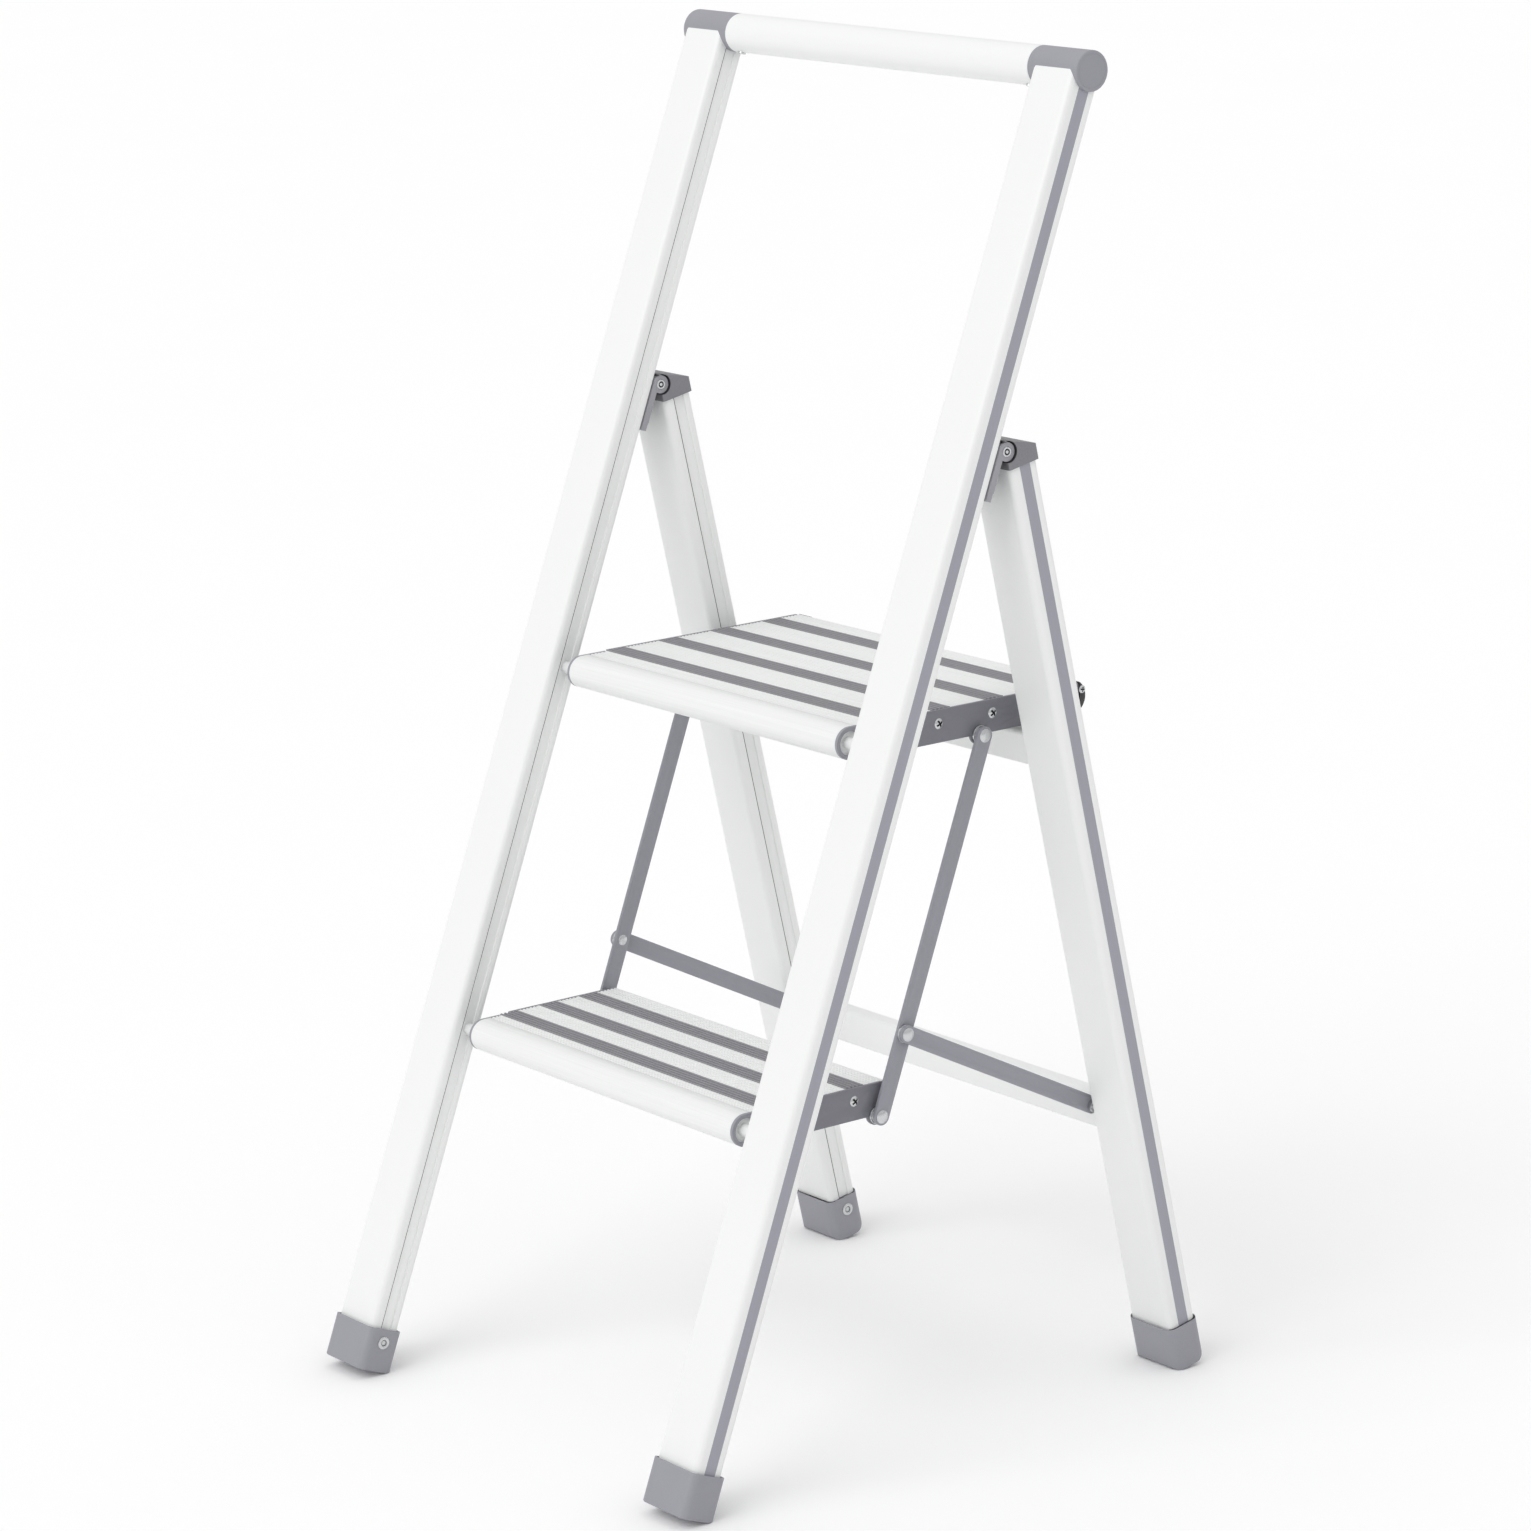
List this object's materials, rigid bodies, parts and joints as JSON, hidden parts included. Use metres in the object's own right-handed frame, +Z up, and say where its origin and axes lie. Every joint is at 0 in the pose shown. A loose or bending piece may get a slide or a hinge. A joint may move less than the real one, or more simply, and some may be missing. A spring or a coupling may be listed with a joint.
{
  "type": "step stool",
  "caption": "Folding step stool with hinged ribbed treads, slanted front rails with a high hand bar, a swinging rear frame and linking bars.",
  "frame": {"origin": "middle of the open stool's bounding box at the floor", "axes": "+X to the right seen from the front, +Y from the front to the back, +Z up"},
  "size_m": [0.4448, 0.4623, 0.9447],
  "materials": {
    "white_aluminium": "white satin powder coat",
    "grey_strip": "matt",
    "grip_rubber": "ribbed",
    "foot_rubber": "fine grain",
    "grey_plastic": "fine grain",
    "grey_cast": "dark grey powder coat on cast metal",
    "grey_steel": "satin powder coat",
    "dark_plastic": "matt",
    "white_plastic": "smooth",
    "steel": "zinc plated"
  },
  "bodies": {
    "front_frame": {"corner_cap_left": "grey_plastic", "corner_cap_right": "grey_plastic", "front_foot_left": "foot_rubber", "front_foot_right": "foot_rubber", "front_foot_screws": "steel", "front_rail_left": "white_aluminium", "front_rail_right": "white_aluminium", "front_strip_left": "grey_strip", "front_strip_right": "grey_strip", "hand_bar": "white_aluminium", "hand_bar_screws": "steel", "hinge_pin_left": "steel", "hinge_pin_right": "steel", "hinge_plate_left": "grey_cast", "hinge_plate_right": "grey_cast", "lower_pivot_pins": "white_plastic", "upper_pivot_pins": "white_plastic"},
    "rear_frame": {"back_rivets": "steel", "hinge_cap_left": "grey_cast", "hinge_cap_right": "grey_cast", "lower_brace": "white_aluminium", "rear_foot_left": "foot_rubber", "rear_foot_right": "foot_rubber", "rear_foot_screws": "steel", "rear_rail_left": "white_aluminium", "rear_rail_right": "white_aluminium", "rear_strip_left": "grey_strip", "rear_strip_right": "grey_strip", "upper_brace": "white_aluminium"},
    "upper_tread": {"upper_bracket_left": "grey_steel", "upper_bracket_right": "grey_steel", "upper_bracket_screws": "steel", "upper_catch_left": "dark_plastic", "upper_catch_right": "dark_plastic", "upper_catch_screws": "steel", "upper_grip_1": "grip_rubber", "upper_grip_2": "grip_rubber", "upper_grip_3": "grip_rubber", "upper_grip_4": "grip_rubber", "upper_nose_caps": "grey_plastic", "upper_rivets": "steel", "upper_tread": "white_aluminium"},
    "lower_tread": {"lower_bracket_left": "grey_steel", "lower_bracket_right": "grey_steel", "lower_bracket_screws": "steel", "lower_grip_1": "grip_rubber", "lower_grip_2": "grip_rubber", "lower_grip_3": "grip_rubber", "lower_nose_caps": "grey_plastic", "lower_rivets": "steel", "lower_tread": "white_aluminium"},
    "upright_bar_left": {"middle_rivet_left": "steel", "upright_bar_left": "grey_steel"},
    "upright_bar_right": {"middle_rivet_right": "steel", "upright_bar_right": "grey_steel"},
    "slanted_bar_left": {"slanted_bar_left": "grey_steel", "slanted_rivet_left": "steel"},
    "slanted_bar_right": {"slanted_bar_right": "grey_steel", "slanted_rivet_right": "steel"}
  },
  "joints": [
    {"name": "upper_tread_fold", "type": "hinge", "parent": "front_frame", "child": "upper_tread", "pos_m": [0, -0.01397, 0.49125], "axis": [1, 0, 0], "range_deg": [0, 68.7]},
    {"name": "lower_tread_fold", "type": "hinge", "parent": "front_frame", "child": "lower_tread", "pos_m": [0, -0.11732, 0.24052], "axis": [1, 0, 0], "range_deg": [0, 68.7]},
    {"name": "rear_frame_fold", "type": "hinge", "parent": "front_frame", "child": "rear_frame", "pos_m": [0, 0.08266, 0.68467], "axis": [-1, 0, 0], "range_deg": [0, 32.7]},
    {"name": "upright_bar_left_swing", "type": "hinge", "parent": "upper_tread", "child": "upright_bar_left", "pos_m": [-0.16725, 0.09521, 0.478], "axis": [-1, 0, 0], "range_deg": [0, 68.7]},
    {"name": "slanted_bar_left_swing", "type": "hinge", "parent": "rear_frame", "child": "slanted_bar_left", "pos_m": [-0.17135, 0.17583, 0.19457], "axis": [-1, 0, 0], "range_deg": [0, 48.54]},
    {"name": "upright_bar_right_swing", "type": "hinge", "parent": "upper_tread", "child": "upright_bar_right", "pos_m": [0.16725, 0.09521, 0.478], "axis": [-1, 0, 0], "range_deg": [0, 68.7]},
    {"name": "slanted_bar_right_swing", "type": "hinge", "parent": "rear_frame", "child": "slanted_bar_right", "pos_m": [0.17135, 0.17583, 0.19457], "axis": [-1, 0, 0], "range_deg": [0, 48.54]}
  ],
  "couplings": [
    {"joint": "lower_tread_fold", "follows": "upper_tread_fold", "ratio": 1},
    {"joint": "rear_frame_fold", "follows": "upper_tread_fold", "ratio": 0.47598},
    {"joint": "upright_bar_left_swing", "follows": "upper_tread_fold", "ratio": 1},
    {"joint": "slanted_bar_left_swing", "follows": "upper_tread_fold", "ratio": 0.7066},
    {"joint": "upright_bar_right_swing", "follows": "upper_tread_fold", "ratio": 1},
    {"joint": "slanted_bar_right_swing", "follows": "upper_tread_fold", "ratio": 0.7066}
  ]
}
